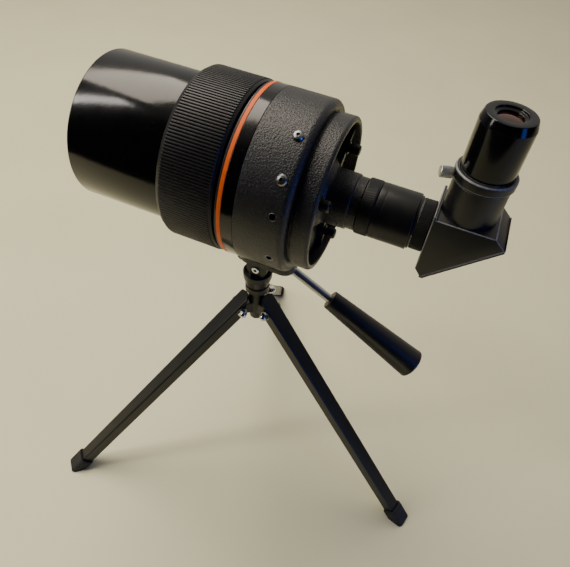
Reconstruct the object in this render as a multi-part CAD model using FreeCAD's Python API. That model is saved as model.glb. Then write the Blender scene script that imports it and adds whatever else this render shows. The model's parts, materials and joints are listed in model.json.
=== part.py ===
import FreeCAD, Part
import math
import os

# Maksutov telescope on its tabletop tripod, millimetres, +Z up, real size.
# The origin is on the table under the pan axis.  +X is the horizontal direction
# of the telescope's rear end, so the front of the tube looks towards -X.
V = FreeCAD.Vector
os.makedirs("parts", exist_ok=True)

# ---- driving dimensions: the telescope along its own axis (s from the front rim) ----
SCOPE_TILT = 2.4          # degrees the front end is raised
FRONT_X = -119.45         # front rim centre
FRONT_Z = 312.13
TUBE_R = 53.0             # glossy front tube
TUBE_WALL = 2.6
TUBE_STEP = 69.0          # the tube is turned down behind here
MOUTH_R = 51.2            # counterbore that takes a cap
MOUTH_END = 13.0
TUBE_END = 100.0
RING_S0 = 71.0            # ribbed focus ring
RING_S1 = 111.2
RING_R = 60.8
RING_RIBS = 180
RIB_DEPTH = 0.7
CELL_S0 = 112.0           # rear cell casting
CELL_R = 60.4
BAND_S1 = 126.0           # end of the glossy band
SHOULDER_S = 160.7        # rounded rear shoulder
RIM_S1 = 174.8            # end of the rear rim
RIM_R = 53.6
FLOOR_S = 166.0           # floor of the recessed back
PLATE_S0 = 156.0          # front face of the back plate
GROOVE_R = 52.6
KNOB_RAD = 35.5           # knobs from the optical axis
NECK_R = 19.3
BAND_R = 18.2
KNURL_S0 = 194.1          # knurled lock ring of the visual back
KNURL_S1 = 203.3
KNURL_R = 19.4
BACK_S1 = 229.6           # end of the smooth visual back
BACK_R = 19.1
NOSE_R = 15.875           # 1.25 inch nosepiece and eyepiece barrels
BORE_R = 15.95            # sockets for them
EYE_S = 259.8             # eyepiece axis
BOX_S0 = 240.4            # prism box of the diagonal
BOX_HALF = 18.5
LIP_U = 22.0              # raised front lip of the prism box
HOLDER_R = 17.4
HOLDER_RIM_R = 18.7
HOLDER_U1 = 51.3          # top of the eyepiece holder above the optical axis
LOCK_U = 46.8             # locking screw height
LOCK_TURN = 18.0          # its turn about the holder towards -Y
LOCK_OUT = 27.0           # its outer end from the holder's axis
EYE_U0 = 51.6
EYE_U1 = 87.6
EYE_R = 16.2
PAD_U = -70.0             # underside of the mounting foot
PAD_S0 = 113.0
PAD_S1 = 158.0
PAD_HALF = 21.0
PLATE_TOP_U = -71.6       # top of the stand's plate under the rubber sheet
SCREW_HOLE_S = 123.45     # quarter-inch screw
WEB_TURN = -54.0          # clocking of the three webs in the back
SCREW_ANGLES = (27.7, 54.1)
HOLE_ANGLES = (76.0, 110.0)
SCREW_S = 151.5

# ---- driving dimensions: tripod ----
APEX_Z = 191.4            # where the three leg centre lines meet the pan axis
FOOT_RAD = 183.0          # where they meet the table
LEG_AZ = (224.1, 344.1, 104.1)
PIVOT_RAD = 16.3
LEG_W_TOP = 15.0
LEG_W_END = 11.5
LEG_DEPTH = 10.0
LEG_WALL = 1.5
LEG_TOP = 15.0            # leg face above its hinge
HUB_TOP_Z = 197.0
HUB_LOW_Z = 156.0
TILT_X = 2.0              # tilt pivot off the pan axis
TILT_Z = 221.0            # tilt pivot height
TILT_S = 125.16           # the same pivot in telescope coordinates
TILT_U = -85.96
CHEEK_R = 8.8             # tilt block cheeks around the pivot
CHEEK_Y0 = 3.8
CHEEK_Y1 = 8.2
CUP_R = 12.3
CUP_RIM_Z = 212.0
TONGUE_R = 6.8            # tongue between the cheeks
TONGUE_HALF = 3.6
ROD_R = 3.5
GRIP_R0 = 8.0
GRIP_R1 = 12.5


def edge_loop(points):
    """Closed loop in the XZ plane from (x, z, corner radius) points."""
    n = len(points)
    starts = []
    ends = []
    arcs = []
    for i in range(n):
        p = V(points[i][0], 0, points[i][1])
        a = V(points[i - 1][0], 0, points[i - 1][1])
        b = V(points[(i + 1) % n][0], 0, points[(i + 1) % n][1])
        r = points[i][2] if len(points[i]) > 2 else 0.0
        if r <= 0:
            starts.append(p)
            ends.append(p)
            arcs.append(None)
            continue
        da = (a - p).normalize()
        db = (b - p).normalize()
        half = da.getAngle(db) / 2.0
        cut = r / math.tan(half)
        bis = (da + db).normalize()
        centre = p + bis * (r / math.sin(half))
        t0 = p + da * cut
        t1 = p + db * cut
        mid = centre - bis * r
        starts.append(t0)
        ends.append(t1)
        arcs.append(Part.Arc(t0, mid, t1).toShape())
    edges = []
    for i in range(n):
        if arcs[i] is not None:
            edges.append(arcs[i])
        j = (i + 1) % n
        if (starts[j] - ends[i]).Length > 1e-6:
            edges.append(Part.makeLine(ends[i], starts[j]))
    return Part.Wire(edges)


def lathe_x(points):
    """Solid of revolution about the X axis from (s, r, corner radius) points."""
    face = Part.Face(edge_loop(points))
    return Part.Solid(face.revolve(V(0, 0, 0), V(1, 0, 0), 360))


def lathe_z(points, x=0.0, y=0.0):
    """Solid of revolution about a vertical axis from (r, z, corner radius) points."""
    face = Part.Face(edge_loop(points))
    shape = Part.Solid(face.revolve(V(0, 0, 0), V(0, 0, 1), 360))
    shape.translate(V(x, y, 0))
    return shape


def plate_y(points, y0, y1):
    """Prism of an XZ outline between two Y values."""
    face = Part.Face(edge_loop(points))
    shape = face.extrude(V(0, y1 - y0, 0))
    shape.translate(V(0, y0, 0))
    return shape


def rod(x, y, z, r, length, direction):
    """Round bar starting at a point."""
    return Part.makeCylinder(r, length, V(x, y, z), direction)


def box(x0, y0, z0, x1, y1, z1):
    """Block between two corners."""
    return Part.makeBox(x1 - x0, y1 - y0, z1 - z0, V(x0, y0, z0))


def ribbed_ring(s0, s1, r_out, r_in, ribs, depth):
    """Ring along X whose outside carries straight ribs."""
    pts = []
    step = 2 * math.pi / ribs
    for i in range(ribs):
        for k, rr in ((0.0, r_out), (0.55, r_out), (0.66, r_out - depth), (0.89, r_out - depth)):
            a = (i + k) * step
            pts.append(V(s0, rr * math.sin(a), rr * math.cos(a)))
    pts.append(pts[0])
    outer = Part.Face(Part.makePolygon(pts)).extrude(V(s1 - s0, 0, 0))
    return outer.cut(rod(s0 - 1, 0, 0, r_in, s1 - s0 + 2, V(1, 0, 0)))


def place(shape):
    """From telescope coordinates (s, y, u) to the table frame."""
    shape.rotate(V(0, 0, 0), V(0, 1, 0), SCOPE_TILT)
    shape.translate(V(FRONT_X, 0, FRONT_Z))
    return shape


def save(shape, node):
    """Write one node; several separate bodies stay separate in it."""
    solids = shape.Solids
    out = solids[0] if len(solids) == 1 else Part.makeCompound(solids)
    out.exportStep("parts/" + node + ".step")


def polar(s, r, angle):
    """Point at a clock angle measured from the top towards the -Y side."""
    a = math.radians(angle)
    return V(s, -r * math.sin(a), r * math.cos(a))


# ------------------------------------------------------------------ front barrel
def front_tube():
    """Glossy tube with a rounded lip and a counterbored mouth; its turned-down back end runs inside the ring."""
    return lathe_x([(0, TUBE_R, 1.0), (TUBE_STEP, TUBE_R, 0.2), (TUBE_STEP, TUBE_R - 0.8),
                    (TUBE_END, TUBE_R - 0.8, 0.3), (TUBE_END, TUBE_R - TUBE_WALL, 0.3),
                    (MOUTH_END, TUBE_R - TUBE_WALL), (MOUTH_END, MOUTH_R), (0, MOUTH_R, 0.6)])


def corrector_cell():
    """Ring inside the tube with the seat for the meniscus."""
    return lathe_x([(21.3, 50.35), (37.0, 50.35), (37.0, 44.6), (34.4, 44.6), (34.4, 47.3), (21.3, 47.3)])


def corrector_lens():
    """Meniscus corrector, hollow side to the front."""
    ring = lathe_x([(21.4, 0), (21.4, 47.2, 0.4), (34.2, 47.2, 0.4), (34.2, 0)])
    front = Part.makeSphere(150.0, V(31.2 - 150.0 - 5.6 + 1.0, 0, 0))
    back = Part.makeSphere(158.0, V(34.1 + 158.0 - 316.0, 0, 0))
    return ring.cut(front).common(back)


def corrector_retainer():
    """Threaded ring in front of the corrector with two spanner slots."""
    ring = lathe_x([(14.6, 50.35, 0.3), (21.25, 50.35), (21.25, 45.2), (14.6, 45.2, 0.3)])
    slot = box(14.0, -1.2, 44.0, 16.4, 1.2, 48.6)
    slot2 = box(14.0, -1.2, -48.6, 16.4, 1.2, -44.0)
    return ring.cut(slot).cut(slot2)


def secondary_spot():
    """Thin aluminised disc on the middle of the corrector's back."""
    return lathe_x([(34.25, 0), (34.25, 13.0), (34.7, 13.0), (34.7, 0)])


def secondary_baffle():
    """Short cone around the spot."""
    return lathe_x([(34.25, 13.1), (34.25, 15.2), (36.0, 15.2), (49.0, 13.4), (49.0, 12.6), (36.0, 13.8)])


# ------------------------------------------------------------------ focus ring
def focus_ring():
    """Wide straight-ribbed ring, plain bands at both ends."""
    body = ribbed_ring(RING_S0 + 2.4, RING_S1 - 1.8, RING_R, 54.0, RING_RIBS, RIB_DEPTH)
    front = lathe_x([(RING_S0, 58.6), (RING_S0 + 2.4, 60.0), (RING_S0 + 2.4, 53.35), (RING_S0, 53.35)])
    front2 = lathe_x([(RING_S0 + 2.4, 58.0), (75.0, 58.0), (75.0, 53.35), (RING_S0 + 2.4, 53.35)])
    rear = lathe_x([(RING_S1 - 1.8, 60.0), (RING_S1, 59.4), (RING_S1, 53.9), (RING_S1 - 1.8, 53.9)])
    flange = lathe_x([(107.0, 56.0), (RING_S1, 56.0), (RING_S1, 50.38), (107.0, 50.38)])
    return body.fuse([front, front2, rear, flange]).removeSplitter()


# ------------------------------------------------------------------ rear cell
def foot_block():
    """Mounting foot under the casting: a thick plate on a flared pedestal."""
    a = [V(0, -PAD_HALF, PAD_U), V(0, PAD_HALF, PAD_U), V(0, PAD_HALF, PAD_U + 4.2),
         V(0, 17.5, PAD_U + 8.0), V(0, -17.5, PAD_U + 8.0), V(0, -PAD_HALF, PAD_U + 4.2),
         V(0, -PAD_HALF, PAD_U)]
    low = Part.Face(Part.makePolygon(a)).extrude(V(PAD_S1 - PAD_S0, 0, 0))
    low.translate(V(PAD_S0, 0, 0))
    b = [V(0, -17.5, PAD_U + 8.0), V(0, 17.5, PAD_U + 8.0), V(0, 15.5, -56.0), V(0, -15.5, -56.0),
         V(0, -17.5, PAD_U + 8.0)]
    high = Part.Face(Part.makePolygon(b)).extrude(V(PAD_S1 - BAND_S1 - 0.2, 0, 0))
    high.translate(V(BAND_S1 + 0.2, 0, 0))
    plan = box(PAD_S0, -PAD_HALF, -75, PAD_S1, PAD_HALF, -50)
    uprights = [e for e in plan.Edges if abs(e.BoundBox.ZLength - 25) < 0.01]
    plan = plan.makeFillet(9.0, uprights)
    return low.fuse(high).common(plan)


def rear_cell():
    """Main casting: seat for the bands, textured shell with its shoulder, and the foot."""
    body = lathe_x([(CELL_S0, 57.6, 0.3), (113.2, 57.6), (113.2, 58.2), (BAND_S1, 58.2),
                    (BAND_S1, CELL_R, 0.4), (SHOULDER_S, CELL_R, 4.6), (SHOULDER_S, GROOVE_R + 0.05),
                    (PLATE_S0, GROOVE_R + 0.05), (PLATE_S0, 55.0), (118.0, 55.0), (118.0, 50.3),
                    (CELL_S0, 50.3)])
    cell = body.fuse(foot_block())
    for ang in SCREW_ANGLES + HOLE_ANGLES:
        p = polar(SCREW_S, 54.5, ang)
        d = polar(0, 1.0, ang)
        cell = cell.cut(Part.makeCylinder(2.05, 9.0, p, d))
    cell = cell.cut(rod(SCREW_HOLE_S, 0, PAD_U - 1, 3.2, 7.2, V(0, 0, 1)))
    return cell.removeSplitter()


def back_plate():
    """Disc that closes the casting and forms the floor of the recessed back."""
    return lathe_x([(PLATE_S0, GROOVE_R, 0.3), (FLOOR_S, GROOVE_R), (FLOOR_S, 15.2), (PLATE_S0, 15.2)])


def rear_rim():
    """Textured rim around the recessed back."""
    return lathe_x([(162.4, GROOVE_R + 0.05), (162.4, RIM_R, 0.6), (RIM_S1, RIM_R, 2.4), (RIM_S1, 49.6, 0.8),
                    (FLOOR_S + 0.02, 49.6, 0.4), (FLOOR_S + 0.02, GROOVE_R + 0.05)])


def neck_boss():
    """Conical boss, thin band and threaded stub on the optical axis."""
    return lathe_x([(FLOOR_S + 0.02, 25.0), (171.5, NECK_R, 4.0), (187.5, NECK_R, 0.8), (187.5, BAND_R, 0.2),
                    (193.8, BAND_R, 0.3), (193.8, 17.0), (203.0, 17.0, 0.3), (203.0, 15.2),
                    (FLOOR_S + 0.02, 15.2)])


def back_webs():
    """Three stiffening webs on the floor, each with a tapped post."""
    out = []
    clear = lathe_x([(160.0, 25.5), (FLOOR_S + 0.5, 25.5), (172.5, NECK_R + 0.3), (180.0, NECK_R + 0.3),
                     (180.0, 0), (160.0, 0)])
    for k in range(3):
        web = box(FLOOR_S + 0.02, -2.4, 17.0, 170.6, 2.4, 49.3)
        post = rod(FLOOR_S + 0.02, 0, 0, 4.4, 5.5, V(1, 0, 0))
        hole = rod(165.0, 0, 0, 2.05, 12.0, V(1, 0, 0))
        for piece in (post, hole):
            piece.translate(V(0, 0, KNOB_RAD))
        web = web.fuse(post).cut(clear).cut(hole)
        web.rotate(V(0, 0, 0), V(1, 0, 0), WEB_TURN + 120 * k)
        out.append(web)
    return Part.makeCompound(out)


def trim_ring():
    """Thin grey ring at the front edge of the casting."""
    return lathe_x([(113.3, 58.25), (113.3, 60.2, 0.3), (114.7, 60.2, 0.3), (114.7, 58.25)])


def stripe_ring():
    """Narrow coloured ring."""
    return lathe_x([(114.75, 58.25), (114.75, 60.45, 0.3), (117.65, 60.45, 0.3), (117.65, 58.25)])


def gloss_band():
    """Polished band between the stripe and the textured body."""
    return lathe_x([(117.7, 58.25), (117.7, 60.35, 0.3), (125.95, 60.35, 0.3), (125.95, 58.25)])


def helicoid_sleeve():
    """Fixed sleeve the front tube slides on and the ring turns on."""
    return lathe_x([(82.0, 49.9, 0.3), (102.5, 49.9), (102.5, 50.3, 0.1), (117.9, 50.3), (117.9, 47.5),
                    (82.0, 47.5)])


def button_screws():
    """Two button-head socket screws in the side of the body."""
    out = []
    for ang in SCREW_ANGLES:
        head = lathe_z([(0, 0), (3.6, 0), (3.6, 0.5), (2.7, 1.6), (1.4, 2.0), (0, 2.0)])
        shank = rod(0, 0, -4.2, 2.0, 4.3, V(0, 0, 1))
        hexa = Part.makePolygon([V(1.3 * math.cos(math.radians(60 * i)), 1.3 * math.sin(math.radians(60 * i)), 0.7)
                                 for i in range(7)])
        socket = Part.Face(hexa).extrude(V(0, 0, 3))
        screw = head.fuse(shank).cut(socket)
        screw.translate(V(SCREW_S, 0, CELL_R + 0.05))
        screw.rotate(V(0, 0, 0), V(1, 0, 0), ang)
        out.append(screw)
    return Part.makeCompound(out)


def back_knobs():
    """Three domed screws standing on the webs of the back."""
    out = []
    for k in range(3):
        knob = lathe_x([(171.6, 0), (171.6, 3.0), (173.0, 3.0), (173.0, 3.9, 0.6), (179.4, 3.9, 1.6), (179.4, 0)])
        stem = rod(166.1, 0, 0, 2.0, 5.6, V(1, 0, 0))
        knob = knob.fuse(stem)
        knob.translate(V(0, 0, KNOB_RAD))
        knob.rotate(V(0, 0, 0), V(1, 0, 0), WEB_TURN + 120 * k)
        out.append(knob)
    return Part.makeCompound(out)


def mirror_support():
    """Cup that carries the primary mirror on the casting's floor."""
    return lathe_x([(140.0, 46.3), (140.0, 48.6, 0.3), (155.9, 48.6), (155.9, 13.1), (150.3, 13.1), (150.3, 46.3)])


def primary_mirror():
    """Perforated primary, hollow side to the front."""
    disc = lathe_x([(134.5, 16.0), (134.5, 46.1, 0.4), (150.2, 46.1, 0.4), (150.2, 16.0)])
    return disc.cut(Part.makeSphere(330.0, V(138.2 - 330.0, 0, 0)))


def primary_baffle():
    """Long light-shield tube through the mirror, screwed into the neck."""
    return lathe_x([(62.0, 12.0), (62.0, 13.0), (156.1, 13.0), (156.1, 15.1), (172.0, 15.1), (172.0, 12.0)])


def visual_back():
    """Smooth sleeve behind the lock ring with the socket for the diagonal."""
    return lathe_x([(190.0, 13.6), (190.0, 15.1), (203.6, 15.1), (203.6, BACK_R, 0.3),
                    (BACK_S1, BACK_R, 0.5), (BACK_S1, 17.9), (231.2, 17.9, 0.3), (231.2, BORE_R),
                    (204.6, BORE_R), (204.6, 13.6)])


def back_lock_ring():
    """Knurled ring that turns on the neck's thread."""
    return ribbed_ring(KNURL_S0, KNURL_S1, KNURL_R, 17.08, 60, 0.35)


# ------------------------------------------------------------------ star diagonal
def diag_nosepiece():
    """Bright barrel that slides into the visual back."""
    return lathe_x([(205.5, 14.2), (205.5, NOSE_R, 0.3), (240.2, NOSE_R), (240.2, 14.2)])


def diag_collar():
    """Fine-knurled collar between visual back and prism box."""
    return ribbed_ring(231.35, 240.2, 17.3, 15.9, 90, 0.25)


def box_outline(inset, hyp):
    """Side outline of the prism box, 45 degree back given by s - u."""
    s0 = BOX_S0 + inset
    top = 19.5 - inset
    s1 = 287.0 - inset
    low = -28.7 + inset
    return [(s0, top), (279.2 - inset * 0.4, top), (s1, 12.6 - inset * 0.6), (s1, s1 - hyp),
            (low + hyp, low), (245.9 + inset * 0.2, low), (s0, -22.2 + inset * 0.6)]


def diag_housing():
    """Prism box without its sloping cover."""
    outer = plate_y(box_outline(0.0, 272.9), -BOX_HALF, BOX_HALF)
    cavity = plate_y(box_outline(2.4, 273.6), -15.5, 15.5)
    shape = outer.cut(cavity)
    shape = shape.cut(rod(239.0, 0, 0, 14.3, 5.0, V(1, 0, 0)))
    shape = shape.cut(rod(EYE_S, 0, 15.0, 16.2, 6.0, V(0, 0, 1)))
    for y in (-1, 1):
        shape = shape.cut(rod(256.6, y * 14.0, 1.5, 1.75, 6.0, V(0, y, 0)))
    lip = box(BOX_S0, -BOX_HALF, 19.0, BOX_S0 + 2.6, BOX_HALF, LIP_U)
    lip = lip.cut(rod(EYE_S, 0, 15.0, HOLDER_R + 0.1, 20.0, V(0, 0, 1)))
    return shape.fuse(lip).removeSplitter()


def diag_cover():
    """Sloping plate on the back of the prism box."""
    body = plate_y([(287.0, 287.0 - 272.95), (287.0, 287.0 - 275.8), (-28.7 + 275.8, -28.7),
                    (-28.7 + 272.95, -28.7)], -BOX_HALF, BOX_HALF)
    for y in (-13.0, 13.0):
        for d in (-15.0, 13.0):
            c = V(264.0 + d, y, 264.0 + d - 276.0)
            body = body.cut(Part.makeCylinder(1.3, 6.0, c + V(2, 0, -2), V(-1, 0, 1)))
            body = body.cut(Part.makeCylinder(2.3, 2.15, c + V(0.9, 0, -0.9), V(-1, 0, 1)))
    return body


def diag_cover_screws():
    """Four countersunk screws of the cover."""
    out = []
    for y in (-13.0, 13.0):
        for d in (-15.0, 13.0):
            c = V(263.9 + d, y, 264.1 + d - 276.0)
            head = Part.makeCone(2.2, 1.8, 0.8, c + V(0.1, 0, -0.1), V(-1, 0, 1))
            shank = Part.makeCylinder(1.2, 1.9, c + V(0.1, 0, -0.1), V(-1, 0, 1))
            out.append(head.fuse(shank))
    return Part.makeCompound(out)


def diag_side_screws():
    """Two grub screws in the side walls of the box."""
    out = []
    for y in (-1, 1):
        screw = rod(256.6, y * 15.8, 1.5, 1.7, 1.7, V(0, y, 0))
        slot = box(254.0, y * 17.5 - 0.6, 1.2, 259.0, y * 17.5 + 0.6, 1.8)
        out.append(screw.cut(slot))
    return Part.makeCompound(out)


def diag_prism():
    """Right-angle prism that turns the light upwards."""
    return plate_y([(243.4, 16.6), (276.4, 16.6), (243.4, -16.4)], -15.2, 15.2)


def prism_spring():
    """Block that presses the prism forward off the cover."""
    return plate_y([(262.8, 2.6), (273.0, 0.6), (262.6, -9.8), (256.4, -3.8)], -9.0, 9.0)


def eyepiece_holder():
    """Upright socket with a thick rim."""
    shape = lathe_z([(BORE_R, 19.55), (HOLDER_R, 19.55), (HOLDER_R, 44.4, 0.6), (HOLDER_RIM_R, 45.4, 0.6),
                     (HOLDER_RIM_R, HOLDER_U1, 1.5), (BORE_R, HOLDER_U1, 0.4)], EYE_S)
    spigot = lathe_z([(14.6, 17.3), (16.1, 17.3), (16.1, 20.6), (14.6, 20.6)], EYE_S)
    shape = shape.fuse(spigot)
    hole = rod(-21.0, 0, LOCK_U, 1.6, 8.0, V(1, 0, 0))
    return shape.cut(to_lock(hole)).removeSplitter()


def to_lock(shape):
    """Turns a shape from the -X side of the holder's axis to the locking screw's place."""
    shape.rotate(V(0, 0, 0), V(0, 0, 1), LOCK_TURN)
    shape.translate(V(EYE_S, 0, 0))
    return shape


def thumb_screw():
    """Locking screw of the eyepiece with a finely knurled head."""
    head = ribbed_ring(0.0, 7.7, 3.6, 0.5, 36, 0.15)
    core = rod(0.3, 0, 0, 1.0, 7.0, V(1, 0, 0))
    stem = rod(7.3, 0, 0, 1.5, 3.6, V(1, 0, 0))
    shape = head.fuse([core, stem])
    shape.translate(V(-LOCK_OUT, 0, LOCK_U))
    return to_lock(shape).removeSplitter()


# ------------------------------------------------------------------ eyepiece
def eyepiece_body():
    """Black body with a chamfered top and a stepped bore."""
    return lathe_z([(11.0, EYE_U0), (EYE_R, EYE_U0, 0.4), (EYE_R, 82.4, 0.8), (14.6, EYE_U1, 0.5),
                    (9.4, EYE_U1, 0.3), (9.4, 86.3, 0.2), (7.4, 85.7, 0.2), (7.4, 84.9), (10.2, 84.9),
                    (10.2, 81.0), (11.0, 81.0)], EYE_S)


def eyepiece_barrel():
    """Bright barrel under the body."""
    return lathe_z([(14.3, 24.0), (NOSE_R, 24.0, 0.4), (NOSE_R, 51.5), (10.9, 51.5), (10.9, 49.0), (14.3, 49.0)],
                   EYE_S)


def eye_lens():
    """Top lens, domed upwards."""
    disc = lathe_z([(0, 81.1), (10.15, 81.1), (10.15, 85.6), (0, 85.6)], EYE_S)
    return disc.common(Part.makeSphere(30.0, V(EYE_S, 0, 85.6 - 30.0)))


def field_lens():
    """Lower lens group in the bore."""
    disc = lathe_z([(0, 60.0), (10.95, 60.0), (10.95, 68.0), (0, 68.0)], EYE_S)
    return disc.common(Part.makeSphere(28.0, V(EYE_S, 0, 60.0 + 28.0)))


def field_stop():
    """Thin ring inside the barrel."""
    return lathe_z([(9.0, 46.0), (14.25, 46.0), (14.25, 47.2), (9.0, 47.2)], EYE_S)


# ------------------------------------------------------------------ tripod head
HANDLE_DIR = V(0.8732, 0, -0.4874)
HANDLE_START = V(21.0, 0, 229.7)


def tilt_block():
    """Fork over the bell's tongue, plate under the foot, boss for the handle."""
    lobes = [(TILT_S - CHEEK_R, -74.0), (TILT_S + CHEEK_R, -74.0),
             (TILT_S + CHEEK_R, TILT_U - CHEEK_R, CHEEK_R - 0.1), (TILT_S - CHEEK_R, TILT_U - CHEEK_R, CHEEK_R - 0.1)]
    shape = plate_y(lobes, -CHEEK_Y1, -CHEEK_Y0).fuse(plate_y(lobes, CHEEK_Y0, CHEEK_Y1))
    bridge = box(TILT_S - CHEEK_R, -CHEEK_Y1, -78.5, TILT_S + CHEEK_R, CHEEK_Y1, -74.0)
    plate = box(TILT_S - 16.7, -14.0, -75.6, TILT_S + 20.3, 14.0, PLATE_TOP_U)
    uprights = [e for e in plate.Edges if abs(e.BoundBox.ZLength - 4.0) < 0.01]
    shape = place(shape.fuse([bridge, plate.makeFillet(6.0, uprights)]))
    boss = Part.makeCylinder(5.2, 15.0, HANDLE_START + HANDLE_DIR * -7.0, HANDLE_DIR)
    keep = place(box(TILT_S - 30.0, -14.0, -100.0, TILT_S + 40.0, 14.0, PLATE_TOP_U))
    shape = shape.fuse(boss.common(keep))
    bore = Part.makeCylinder(ROD_R + 0.08, 16.0, HANDLE_START + HANDLE_DIR * -3.1, HANDLE_DIR)
    screw = place(rod(SCREW_HOLE_S, 0, -80.0, 3.2, 20.0, V(0, 0, 1)))
    pivot = rod(TILT_X, -10, TILT_Z, 2.08, 20.0, V(0, 1, 0))
    return shape.cut(bore).cut(screw).cut(pivot).removeSplitter()


def grip_sheet():
    """Thin rubber sheet between plate and foot."""
    sheet = box(SCREW_HOLE_S - 14.0, -13.0, PLATE_TOP_U + 0.05, SCREW_HOLE_S + 21.0, 13.0, PAD_U - 0.05)
    return sheet.cut(rod(SCREW_HOLE_S, 0, -80.0, 3.2, 20.0, V(0, 0, 1)))


def camera_screw():
    """Quarter-inch screw that holds the foot."""
    shank = rod(SCREW_HOLE_S, 0, -78.4, 3.1, 13.4, V(0, 0, 1))
    return shank


def pan_cup():
    """Turning bell with an open bowl and a tongue that carries the tilt pivot."""
    bell = lathe_z([(2.65, 197.5), (9.6, 197.5, 0.4), (11.9, 206.0, 4.0), (CUP_R, CUP_RIM_Z, 0.8),
                    (10.6, CUP_RIM_Z, 0.4), (10.6, 207.0, 1.6), (0, 207.0), (0, 206.0), (2.65, 206.0)])
    tongue = plate_y([(TILT_X - TONGUE_R, 206.5), (TILT_X + TONGUE_R, 206.5),
                      (TILT_X + TONGUE_R, TILT_Z + TONGUE_R, TONGUE_R - 0.1),
                      (TILT_X - TONGUE_R, TILT_Z + TONGUE_R, TONGUE_R - 0.1)], -TONGUE_HALF, TONGUE_HALF)
    pivot = rod(TILT_X, -16, TILT_Z, 2.03, 32.0, V(0, 1, 0))
    return bell.fuse(tongue).cut(pivot).removeSplitter()


def hexagon(x, y, z, across_corners):
    """Hexagonal face across the Y axis."""
    r = across_corners / 2.0
    pts = [V(x + r * math.cos(math.radians(60 * i)), y, z + r * math.sin(math.radians(60 * i))) for i in range(7)]
    return Part.Face(Part.makePolygon(pts))


def tilt_bolt():
    """Pivot bolt with a round socket head on the near cheek."""
    shank = rod(TILT_X, -9.0, TILT_Z, 2.0, 19.2, V(0, 1, 0))
    head = rod(TILT_X, -10.8, TILT_Z, 3.1, 2.5, V(0, 1, 0))
    rim = [e for e in head.Edges if e.BoundBox.YMax < -10.7 and e.BoundBox.XLength > 1]
    head = head.makeFillet(0.6, rim)
    socket = hexagon(TILT_X, -11.5, TILT_Z, 3.2).extrude(V(0, 2.2, 0))
    return head.fuse(shank).cut(socket)


def tilt_nut():
    """Nut on the far cheek."""
    nut = hexagon(TILT_X, 8.3, TILT_Z, 7.6).extrude(V(0, 2.4, 0))
    return nut.cut(rod(TILT_X, 7, TILT_Z, 2.03, 10.0, V(0, 1, 0)))


def pan_screw():
    """Screw on the pan axis holding the bell on the hub."""
    shank = rod(0, 0, 184.0, 2.5, 20.0, V(0, 0, 1))
    head = rod(0, 0, 203.9, 2.55, 1.9, V(0, 0, 1))
    return shank.fuse(head).removeSplitter()


def handle_rod():
    """Bright rod from the tilt block into the grip."""
    start = HANDLE_START + HANDLE_DIR * -3.0
    length = 76.0
    return Part.makeCylinder(ROD_R, length, start, HANDLE_DIR)


def handle_grip():
    """Tapered grip with a domed end and two flats running along it."""
    start = HANDLE_START + HANDLE_DIR * 48.6
    grip = lathe_x([(0, 0), (0, GRIP_R0, 0.8), (87.6, GRIP_R1, 1.6), (89.0, 10.4, 1.0), (89.0, 0)])
    for y in (-1, 1):
        flute = Part.makeCylinder(5.0, 84.0, V(10.0, y * 12.1, 0), V(1, y * 0.045, 0))
        grip = grip.cut(flute)
    grip = grip.cut(rod(-1, 0, 0, ROD_R + 0.02, 26.5, V(1, 0, 0)))
    grip.rotate(V(0, 0, 0), V(0, 1, 0), math.degrees(math.atan2(-HANDLE_DIR.z, HANDLE_DIR.x)))
    grip.translate(start)
    return grip


# ------------------------------------------------------------------ hub and legs
LEG_SLOPE = math.atan2(FOOT_RAD, APEX_Z)
PIVOT_Z = APEX_Z - PIVOT_RAD * APEX_Z / FOOT_RAD
PIVOT_DIST = math.hypot(PIVOT_RAD, APEX_Z - PIVOT_Z)
LEG_LEN = math.hypot(FOOT_RAD, APEX_Z) - PIVOT_DIST


def to_leg(shape, azimuth):
    """From leg coordinates (x outward normal, y across, z up the leg) to the table frame."""
    shape.rotate(V(0, 0, 0), V(0, 1, 0), -math.degrees(LEG_SLOPE))
    shape.translate(V(PIVOT_RAD, 0, PIVOT_Z))
    shape.rotate(V(0, 0, 0), V(0, 0, 1), azimuth)
    return shape


def hub_core():
    """Tapering body with a rounded foot."""
    return lathe_z([(0, HUB_LOW_Z), (5.6, HUB_LOW_Z, 3.4), (6.8, 166.0, 4.0), (7.6, 176.0, 4.0), (7.6, 188.2, 1.5),
                    (10.2, 191.6, 1.0), (10.2, HUB_TOP_Z, 0.5), (0, HUB_TOP_Z)])


def tripod_hub():
    """Hub with three lugs for the legs and a hole on the pan axis."""
    shape = hub_core()
    for az in LEG_AZ:
        lug = plate_y([(0.0, PIVOT_Z - 9.0), (PIVOT_RAD - 1.0, PIVOT_Z - 4.6), (PIVOT_RAD - 1.0, PIVOT_Z + 3.4),
                       (0.0, PIVOT_Z + 5.0)], -5.2, 5.2)
        eye = rod(PIVOT_RAD, -5.2, PIVOT_Z, 3.4, 10.4, V(0, 1, 0))
        lug = lug.fuse(eye)
        lug.rotate(V(0, 0, 0), V(0, 0, 1), az)
        shape = shape.fuse(lug)
    for az in LEG_AZ:
        hole = rod(PIVOT_RAD, -8, PIVOT_Z, 2.02, 16, V(0, 1, 0))
        hole.rotate(V(0, 0, 0), V(0, 0, 1), az)
        shape = shape.cut(hole)
    shape = shape.cut(rod(0, 0, 183.5, 2.52, 20, V(0, 0, 1)))
    return shape.removeSplitter()


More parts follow.
